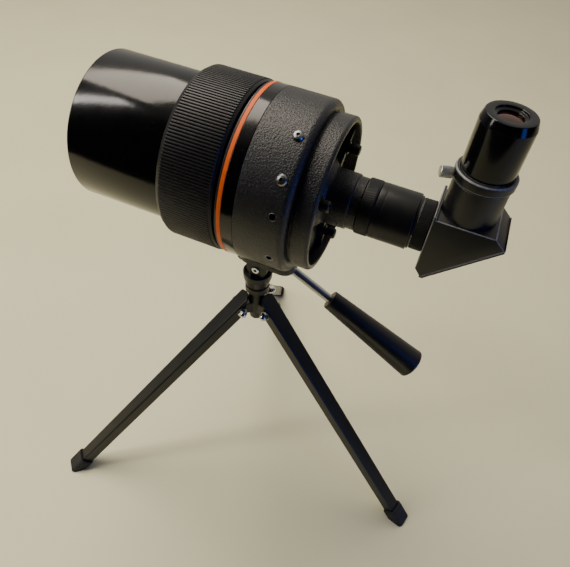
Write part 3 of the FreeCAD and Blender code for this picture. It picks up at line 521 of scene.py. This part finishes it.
def rounded(points, steps):
    """Closed profile with its corners rounded.

    Each point is (along, radius, fillet, rib share), with lengths in millimetres.
    Each result is (along, radius, rib share, edge wear and painted edge highlight share).
    """
    out = []
    for i, (along, radius, fillet, share) in enumerate(points):
        here = Vector((along, radius))
        before = Vector(points[i - 1][:2]) - here
        after = Vector(points[(i + 1) % len(points)][:2]) - here
        if fillet <= 0.0:
            out.append((along, radius, share, 0.0))
            continue
        half = before.angle(after) / 2.0
        reach = min(fillet / math.tan(half), before.length * NEAR_HALF, after.length * NEAR_HALF)
        size = reach * math.tan(half)
        middle = here + (before.normalized() + after.normalized()).normalized() * (size / math.sin(half))
        start = here + before.normalized() * reach - middle
        end = here + after.normalized() * reach - middle
        sweep = start.angle(end)
        for k in range(steps + 1):
            t = k / steps
            swung = start * math.sin((1.0 - t) * sweep) + end * math.sin(t * sweep)
            spot = middle + swung / math.sin(sweep)
            out.append((spot.x, spot.y, share, math.sin(math.pi * t)))
    return out


def lathe(bm, points, where, count, wave=None, steps=4):
    """Adds a turned solid about the local X axis; wave(angle, along) is added to the radius by rib share."""
    # the layer marks rounded edges: chipped wear in the black paints, painted edge highlight with some rubbed wear
    # in the other finishes
    wear = bm.verts.layers.float.get("edge_wear_and_highlight") or bm.verts.layers.float.new("edge_wear_and_highlight")
    rows = []
    for along, radius, share, worn in rounded(points, steps):
        row = []
        for k in range(count):
            angle = 2.0 * math.pi * k / count
            reach = radius + (share * wave(angle, along) if wave and share else 0.0)
            spot = Vector((along, -reach * math.sin(angle), reach * math.cos(angle))) * MM
            vert = bm.verts.new(where @ spot)
            vert[wear] = worn
            row.append(vert)
        rows.append(row)
    for i, row in enumerate(rows):
        under = rows[i - 1]
        for k in range(count):
            n = (k + 1) % count
            bm.faces.new((under[k], under[n], row[n], row[k]))


def slab(bm, outline, y0, y1, where, radius):
    """Adds an upright plate from its side outline, every edge rounded and marked for wear."""
    wear = bm.verts.layers.float.get("edge_wear_and_highlight") or bm.verts.layers.float.new("edge_wear_and_highlight")
    near = [bm.verts.new(where @ (Vector((x, y0, z)) * MM)) for x, z in outline]
    far = [bm.verts.new(where @ (Vector((x, y1, z)) * MM)) for x, z in outline]
    faces = [bm.faces.new(near), bm.faces.new(list(reversed(far)))]
    for i in range(len(outline)):
        n = (i + 1) % len(outline)
        faces.append(bm.faces.new((near[n], near[i], far[i], far[n])))
    bm.normal_update()
    flats = [face.normal.copy() for face in faces]
    edges = list({edge for face in faces for edge in face.edges})
    kept = set(bm.verts) - {vert for edge in edges for vert in edge.verts}
    bmesh.ops.bevel(bm, geom=edges, offset=radius * MM, segments=4, profile=0.5, affect="EDGES")
    bm.normal_update()
    for vert in set(bm.verts) - kept:
        touching = [abs(face.normal.dot(flat)) > FLAT_DOT for face in vert.link_faces for flat in flats]
        vert[wear] = 0.0 if any(touching) else 1.0


def piece(name, bm, finish_name, *nodes):
    """Turns the mesh into an object that moves with the body of the first of those CAD nodes."""
    bmesh.ops.remove_doubles(bm, verts=bm.verts, dist=1e-6)
    bmesh.ops.recalc_face_normals(bm, faces=bm.faces)
    mesh = bpy.data.meshes.new(name)
    bm.to_mesh(mesh)
    bm.free()
    if not mesh.polygons:
        raise RuntimeError(name + " came out empty")
    mesh.shade_smooth()
    mesh.set_sharp_from_angle(angle=math.radians(SHARP_PIECE))
    mesh.materials.append(finish(finish_name))
    made = bpy.data.objects.new(name, mesh)
    bpy.context.scene.collection.objects.link(made)
    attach(made, BODY_OF[nodes[0]])
    return made


def standing_for(name, bm, finish_name, *nodes):
    """A piece that also replaces the CAD nodes in view."""
    made = piece(name, bm, finish_name, *nodes)
    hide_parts(*nodes)
    return made


# ---------------------------------------------------------------- stage
class TELESCOPE_OT_stage(bpy.types.Operator):
    """Table top, soft lights and the camera"""

    bl_idname = "telescope.stage"
    bl_label = "Stage"

    def execute(self, context):
        add_floor()
        add_lights()
        add_camera(context.scene)
        return {"FINISHED"}


def add_floor():
    """A table top that ends just short of the camera and runs far past the view on the other sides."""
    mesh = bpy.data.meshes.new("table_top")
    made = bpy.data.objects.new("table_top", mesh)
    reach = 2.6
    near = 0.55
    mesh.from_pydata([(-reach, -near, 0), (reach, -near, 0), (reach, reach, 0), (-reach, reach, 0)], [],
                     [(0, 1, 2, 3)])
    made.data.materials.append(table_laminate())
    bpy.context.scene.collection.objects.link(made)


def add_area(name, place, target, size, power, tint):
    """One soft lamp aimed at a point."""
    lamp = bpy.data.lights.new(name, "AREA")
    lamp.shape = "RECTANGLE"
    lamp.size = size[0]
    lamp.size_y = size[1]
    lamp.energy = power
    lamp.color = linear(tint)[:3]
    made = bpy.data.objects.new(name, lamp)
    made.location = place
    made.rotation_euler = (Vector(target) - Vector(place)).to_track_quat("-Z", "Y").to_euler()
    bpy.context.scene.collection.objects.link(made)


def add_lights():
    """Broad soft light from above, a brighter window low on the near left, a cool glow from the right."""
    middle = (0.0, 0.0, 0.25)
    add_area("ceiling_softbox", (-0.75, 0.45, 1.75), middle, (1.3, 0.9), 31.0, "#fff3e0")
    add_area("near_window", (-1.35, -0.70, 1.30), middle, (0.20, 1.5), 15.0, "#fffaf2")
    add_area("cool_window", (1.25, -0.45, 0.50), middle, (0.35, 0.7), 4.0, "#3f74ff")
    world = bpy.data.worlds.new("soft_room")
    world.use_nodes = True
    tree = world.node_tree
    direction = add(tree, "ShaderNodeTexCoord").outputs["Generated"]
    away = add(tree, "ShaderNodeVectorMath", {0: direction}, operation="DOT_PRODUCT")
    away.inputs[1].default_value = (-0.20, 0.80, 0.56)
    stops = [(0.0, grey(0.015)), (0.12, grey(0.03)), (0.55, linear("#b9b4ac")), (1.0, linear("#e8e3da"))]
    glow = ramp(tree, away.outputs["Value"], stops)
    tree.links.new(glow, tree.nodes["Background"].inputs["Color"])
    tree.nodes["Background"].inputs["Strength"].default_value = 0.80
    bpy.context.scene.world = world


def add_camera(scene):
    """Camera above and beside the eyepiece end, looking down on the hub."""
    place = Vector((0.1255, -0.2998, 0.5262))
    target = Vector((0.0349, -0.0312, 0.2400))
    roll = math.radians(5.0)
    forward = (target - place).normalized()
    level = forward.cross(Vector((0.0, 0.0, 1.0))).normalized()
    upright = level.cross(forward)
    right = level * math.cos(roll) + upright * math.sin(roll)
    up = right.cross(forward)
    basis = Matrix((right, up, -forward)).transposed().to_4x4()
    lens = bpy.data.cameras.new("view")
    lens.lens = 34.74
    lens.sensor_width = 36.0
    lens.clip_start = 0.01
    made = bpy.data.objects.new("view", lens)
    made.matrix_world = Matrix.Translation(place) @ basis
    scene.collection.objects.link(made)
    scene.camera = made


# ---------------------------------------------------------------- carried-over nodes
class TELESCOPE_OT_finishes(bpy.types.Operator):
    """Real finishes on every node that is carried over from the frame"""

    bl_idname = "telescope.finishes"
    bl_label = "Finishes"

    def execute(self, context):
        for name, piece in frame["nodes"].items():
            piece.data.materials.clear()
            piece.data.materials.append(finish(NODE_FINISH[name]))
            piece.data.shade_smooth()
            piece.data.set_sharp_from_angle(angle=math.radians(SHARP_NODE))
        return {"FINISHED"}


# ---------------------------------------------------------------- telescope pieces
class TELESCOPE_OT_front_tube(bpy.types.Operator):
    """Glossy front tube with a rolled rim"""

    bl_idname = "telescope.front_tube"
    bl_label = "Front Tube"

    def execute(self, context):
        r = sizes().tube_radius / MM
        mouth, step, end = 13.0, 69.0, 100.0
        rebate, turned, wall = 1.8, 0.8, 2.6
        bm = bmesh.new()
        lathe(bm, [(0.0, r - rebate, 0.6, 0), (0.0, r, 1.0, 0), (step, r, 0.3, 0), (step, r - turned, 0, 0),
                   (end, r - turned, 0.4, 0), (end, r - wall, 0.4, 0), (mouth, r - wall, 0, 0),
                   (mouth, r - rebate, 0, 0)], SCOPE, ROUND_FACETS)
        standing_for("Front_tube", bm, "gloss_enamel", "front_tube")
        return {"FINISHED"}


def rib_wave(count, depth, crest):
    """Straight ribs: flat crests that take up that share of the pitch, rounded grooves between."""
    def wave(angle, along):
        place = abs((angle * count / (2.0 * math.pi)) % 1.0 - 0.5) * 2.0
        fall = max(0.0, (place - crest) / (1.0 - crest))
        return -depth * fall * fall * (3.0 - 2.0 * fall)
    return wave


class TELESCOPE_OT_focus_ring(bpy.types.Operator):
    """Focus ring with fine straight ribs between two plain bevelled edges"""

    bl_idname = "telescope.focus_ring"
    bl_label = "Focus Ring"

    def execute(self, context):
        s = sizes()
        r, s0, s1 = s.ring_radius / MM, s.ring_start / MM, s.ring_end / MM
        lip, bore, seat = 53.4, 54.0, 50.5
        per_rib, crest = 8, 0.42
        bm = bmesh.new()
        lathe(bm, [(s0, lip, 0.3, 0), (s0, r - 2.0, 0.5, 0), (s0 + 2.3, r - 0.75, 0.3, 0),
                   (s0 + 2.9, r, 0.4, 1), (s1 - 2.3, r, 0.4, 1), (s1 - 1.7, r - 0.75, 0.3, 0),
                   (s1, r - 1.4, 0.5, 0), (s1, seat, 0.2, 0), (s1 - 4.2, seat, 0, 0), (s1 - 4.2, bore, 0, 0),
                   (s0 + 4.0, bore, 0, 0), (s0 + 4.0, lip, 0, 0)],
              SCOPE, s.ribs * per_rib, rib_wave(s.ribs, s.rib_depth / MM, crest), 3)
        standing_for("Focus_ring", bm, "ring_anodise", "focus_ring")
        return {"FINISHED"}


def diamond_wave(count, depth, lead):
    """Fine diagonal knurl: ridges that wind around the ring, one pitch every lead millimetres."""
    def wave(angle, along):
        place = (angle * count / (2.0 * math.pi) + along / lead) % 1.0
        return -depth * abs(place * 2.0 - 1.0)
    return wave


class TELESCOPE_OT_visual_back(bpy.types.Operator):
    """Visual back: knurled lock ring, smooth sleeve with a stepped end, ribbed collar of the diagonal"""

    bl_idname = "telescope.visual_back"
    bl_label = "Visual Back"

    def execute(self, context):
        thread, tight, socket = 15.1, 13.6, 15.95
        sleeve, lip, groove = 19.1, 17.9, 18.95
        s0, s1, s2, s3 = 190.0, 203.6, 229.6, 231.2
        bm = bmesh.new()
        lathe(bm, [(s0, tight, 0, 0), (s0, thread, 0, 0), (s1, thread, 0, 0), (s1, sleeve, 0.5, 0),
                   (208.0, sleeve, 0.1, 0), (208.25, groove, 0.1, 0), (208.5, sleeve, 0.1, 0),
                   (s2, sleeve, 0.8, 0), (s2, lip, 0.2, 0), (s3, lip, 0.5, 0), (s3, socket, 0.3, 0),
                   (s1 + 1.0, socket, 0, 0), (s1 + 1.0, tight, 0, 0)], SCOPE, SMALL_FACETS)
        standing_for("Back_sleeve", bm, "back_anodise", "visual_back")
        s0, s1 = 194.1, 203.3
        inner, edge, crown = 17.1, 19.0, 19.4
        ridges, facets = 96, 960
        rows = [(s0 + 0.8 + 0.6 * k, crown, 0, 1) for k in range(13)]
        bm = bmesh.new()
        lathe(bm, [(s0, inner, 0.2, 0), (s0, edge, 0.3, 0)] + rows
              + [(s1, edge, 0.3, 0), (s1, inner, 0.2, 0)],
              SCOPE, facets, diamond_wave(ridges, 0.28, 2.6))
        standing_for("Back_lock_ring", bm, "back_anodise", "back_lock_ring")
        s0, s1 = 231.35, 240.2
        inner, edge, crown = 15.9, 17.0, 17.3
        ribs, facets = 110, 880
        bm = bmesh.new()
        lathe(bm, [(s0, inner, 0.2, 0), (s0, edge, 0.3, 0), (s0 + 0.75, crown, 0.2, 1),
                   (s1 - 0.8, crown, 0.2, 1), (s1, edge, 0.2, 0), (s1, inner, 0.2, 0)],
              SCOPE, facets, rib_wave(ribs, 0.25, 0.3))
        standing_for("Diagonal_collar", bm, "back_anodise", "diag_collar")
        return {"FINISHED"}


class TELESCOPE_OT_hole_rims(bpy.types.Operator):
    """Bare metal chamfers around the two empty tapped holes in the side"""

    bl_idname = "telescope.hole_rims"
    bl_label = "Hole Rims"

    def execute(self, context):
        body_radius, low, proud = 60.4, -0.6, 0.12
        bm = bmesh.new()
        for name in ("side_thread_upper", "side_thread_lower"):
            outward = Vector(MOUNTS[name]["axis"]).normalized()
            along = SCOPE.to_3x3() @ Vector((1.0, 0.0, 0.0))
            basis = Matrix((outward, along, outward.cross(along))).transposed().to_4x4()
            centre = Vector(MOUNTS[name]["pos_m"])
            reach = body_radius * MM - (SCOPE.inverted() @ centre).yz.length
            where = Matrix.Translation(centre + outward * reach) @ basis
            lathe(bm, [(low, 2.06, 0, 0), (proud, 2.35, 0.1, 0), (proud, 2.75, 0.1, 0), (-0.3, 2.9, 0, 0),
                       (low, 2.9, 0, 0)], where, 48)
        piece("Hole_rims", bm, "screw_steel", "rear_cell")
        return {"FINISHED"}


class TELESCOPE_OT_prism_box(bpy.types.Operator):
    """Prism box with a raised front lip and its sloping cover, edges rubbed bright"""

    bl_idname = "telescope.prism_box"
    bl_label = "Prism Box"

    def execute(self, context):
        half, front, back, top, low = 18.5, 240.4, 286.2, 19.5, -27.8
        slope = 272.9
        chamfer, heel = 279.2, -22.2
        lip_top, lip_back = 22.0, front + 1.9
        bm = bmesh.new()
        slab(bm, [(front, top), (chamfer, top), (back, back - slope), (low + slope, low), (front, heel)],
             -half, half, SCOPE, 0.7)
        slab(bm, [(front, top - 1.5), (front, lip_top), (lip_back, lip_top), (lip_back, top - 1.5)],
             -half, half, SCOPE, 0.5)
        standing_for("Prism_box", bm, "box_paint", "diag_housing")
        bm = bmesh.new()
        slab(bm, [(286.9, 13.9), (286.9, 11.3), (247.0, -28.6), (244.4, -28.6)], -half, half, SCOPE, 0.5)
        standing_for("Prism_box_cover", bm, "box_paint", "diag_cover")
        return {"FINISHED"}


class TELESCOPE_OT_eyepiece(bpy.types.Operator):
    """Gloss black eyepiece with a bevelled top and recessed lens, in its rimmed socket"""

    bl_idname = "telescope.eyepiece"
    bl_label = "Eyepiece"

    def execute(self, context):
        foot, shoulder, top = 51.6, 82.4, 87.6
        outer, face, recess, stop, seat, inner = 16.2, 14.6, 9.4, 7.4, 10.2, 11.0
        bm = bmesh.new()
        lathe(bm, [(foot, inner, 0, 0), (foot, outer, 0.5, 0), (shoulder, outer, 1.0, 0),
                   (top, face, 0.7, 0), (top, recess, 0.5, 0), (86.3, recess, 0.3, 0), (85.7, stop, 0.3, 0),
                   (84.9, stop, 0, 0), (84.9, seat, 0, 0), (81.0, seat, 0, 0), (81.0, inner, 0, 0)],
              EYE_AXIS, SMALL_FACETS)
        standing_for("Eyepiece_body", bm, "eyepiece_gloss", "eyepiece_body")
        foot, top = 19.6, 51.3
        outer, line, rim = 17.4, 17.15, 18.7
        bm = bmesh.new()
        lathe(bm, [(foot, 15.95, 0, 0), (foot, outer, 0.4, 0), (43.6, outer, 0.3, 0), (43.8, line, 0, 0),
                   (44.2, line, 0, 0), (44.6, 17.6, 0.3, 0), (45.4, rim, 0.8, 0), (top, rim, 1.7, 0),
                   (top, 16.2, 0.9, 0)], EYE_AXIS, SMALL_FACETS, None, 6)
        standing_for("Eyepiece_holder", bm, "box_paint", "eyepiece_holder")
        out, height, clocking = 27.0, 46.8, 18.0
        head, end, shank, crown = 7.7, 10.9, 1.5, 3.6
        turned = EYE_AXIS @ TURN_UP.inverted() @ Matrix.Rotation(math.radians(clocking), 4, "Z")
        where = turned @ Matrix.Translation((-out * MM, 0.0, height * MM))
        bm = bmesh.new()
        lathe(bm, [(0.0, 0.0, 0, 0), (0.0, 3.1, 0.3, 0), (0.5, crown, 0.2, 1), (head - 0.5, crown, 0.2, 1),
                   (head, 3.2, 0.2, 0), (head, shank, 0.2, 0), (end, shank, 0.2, 0), (end, 0.0, 0, 0)],
              where, 288, rib_wave(36, 0.12, 0.3))
        standing_for("Locking_screw", bm, "nickel_rod", "thumb_screw")
        return {"FINISHED"}


def flute_wave(angle, along):
    """Two lengthwise hollows in the sides of the grip."""
    depth, spread = 1.25, 0.26
    out = 0.0
    for middle in (math.pi / 2.0, 1.5 * math.pi):
        out -= depth * math.exp(-((angle - middle) / spread) ** 2)
    return out


class TELESCOPE_OT_handle(bpy.types.Operator):
    """Tapered moulded grip of the pan handle"""

    bl_idname = "telescope.handle"
    bl_label = "Handle"

    def execute(self, context):
        start, depth, bore = 48.6, 75.0, 3.52
        end = start + sizes().grip_length / MM
        taper = [(58.0 + 7.0 * k, 8.5 + 0.354 * k, 0, min(1.0, k / 2.0)) for k in range(11)]
        bm = bmesh.new()
        lathe(bm, [(start, bore, 0, 0), (start, 8.0, 0.9, 0)] + taper
              + [(end - 5.0, 12.25, 0, 0.5), (end - 1.4, 12.5, 1.4, 0), (end, 10.4, 1.0, 0),
                 (end, 0.0, 0, 0), (depth, 0.0, 0, 0), (depth, bore, 0, 0)],
              handle_matrix(), SMALL_FACETS, flute_wave)
        standing_for("Handle_grip", bm, "moulded_plastic", "handle_grip")
        return {"FINISHED"}


class TELESCOPE_PT_panel(bpy.types.Panel):
    """Sizes, colours and pieces of the telescope"""

    bl_label = "Telescope"
    bl_idname = "TELESCOPE_PT_panel"
    bl_space_type = "VIEW_3D"
    bl_region_type = "UI"
    bl_category = "Telescope"

    def draw(self, context):
        for group in (context.scene.telescope_sizes, context.scene.telescope_colours):
            column = self.layout.column(align=True)
            for name in group.__annotations__:
                column.prop(group, name)
        for operator in OPERATORS:
            self.layout.operator(operator.bl_idname)


OPERATORS = (
    TELESCOPE_OT_stage,
    TELESCOPE_OT_finishes,
    TELESCOPE_OT_front_tube,
    TELESCOPE_OT_focus_ring,
    TELESCOPE_OT_visual_back,
    TELESCOPE_OT_hole_rims,
    TELESCOPE_OT_prism_box,
    TELESCOPE_OT_eyepiece,
    TELESCOPE_OT_handle,
)
CLASSES = (TelescopeSizes, TelescopeColours) + OPERATORS + (TELESCOPE_PT_panel,)


def register():
    """Registers the classes and hangs the settings on the scene."""
    for cls in CLASSES:
        bpy.utils.register_class(cls)
    bpy.types.Scene.telescope_sizes = PointerProperty(type=TelescopeSizes)
    bpy.types.Scene.telescope_colours = PointerProperty(type=TelescopeColours)


def unregister():
    """Takes the settings and classes away again."""
    del bpy.types.Scene.telescope_sizes
    del bpy.types.Scene.telescope_colours
    for cls in reversed(CLASSES):
        bpy.utils.unregister_class(cls)


def main():
    """Makes everything in order."""
    register()
    for operator in OPERATORS:
        group, name = operator.bl_idname.split(".")
        getattr(getattr(bpy.ops, group), name)()


if __name__ == "__main__":
    main()
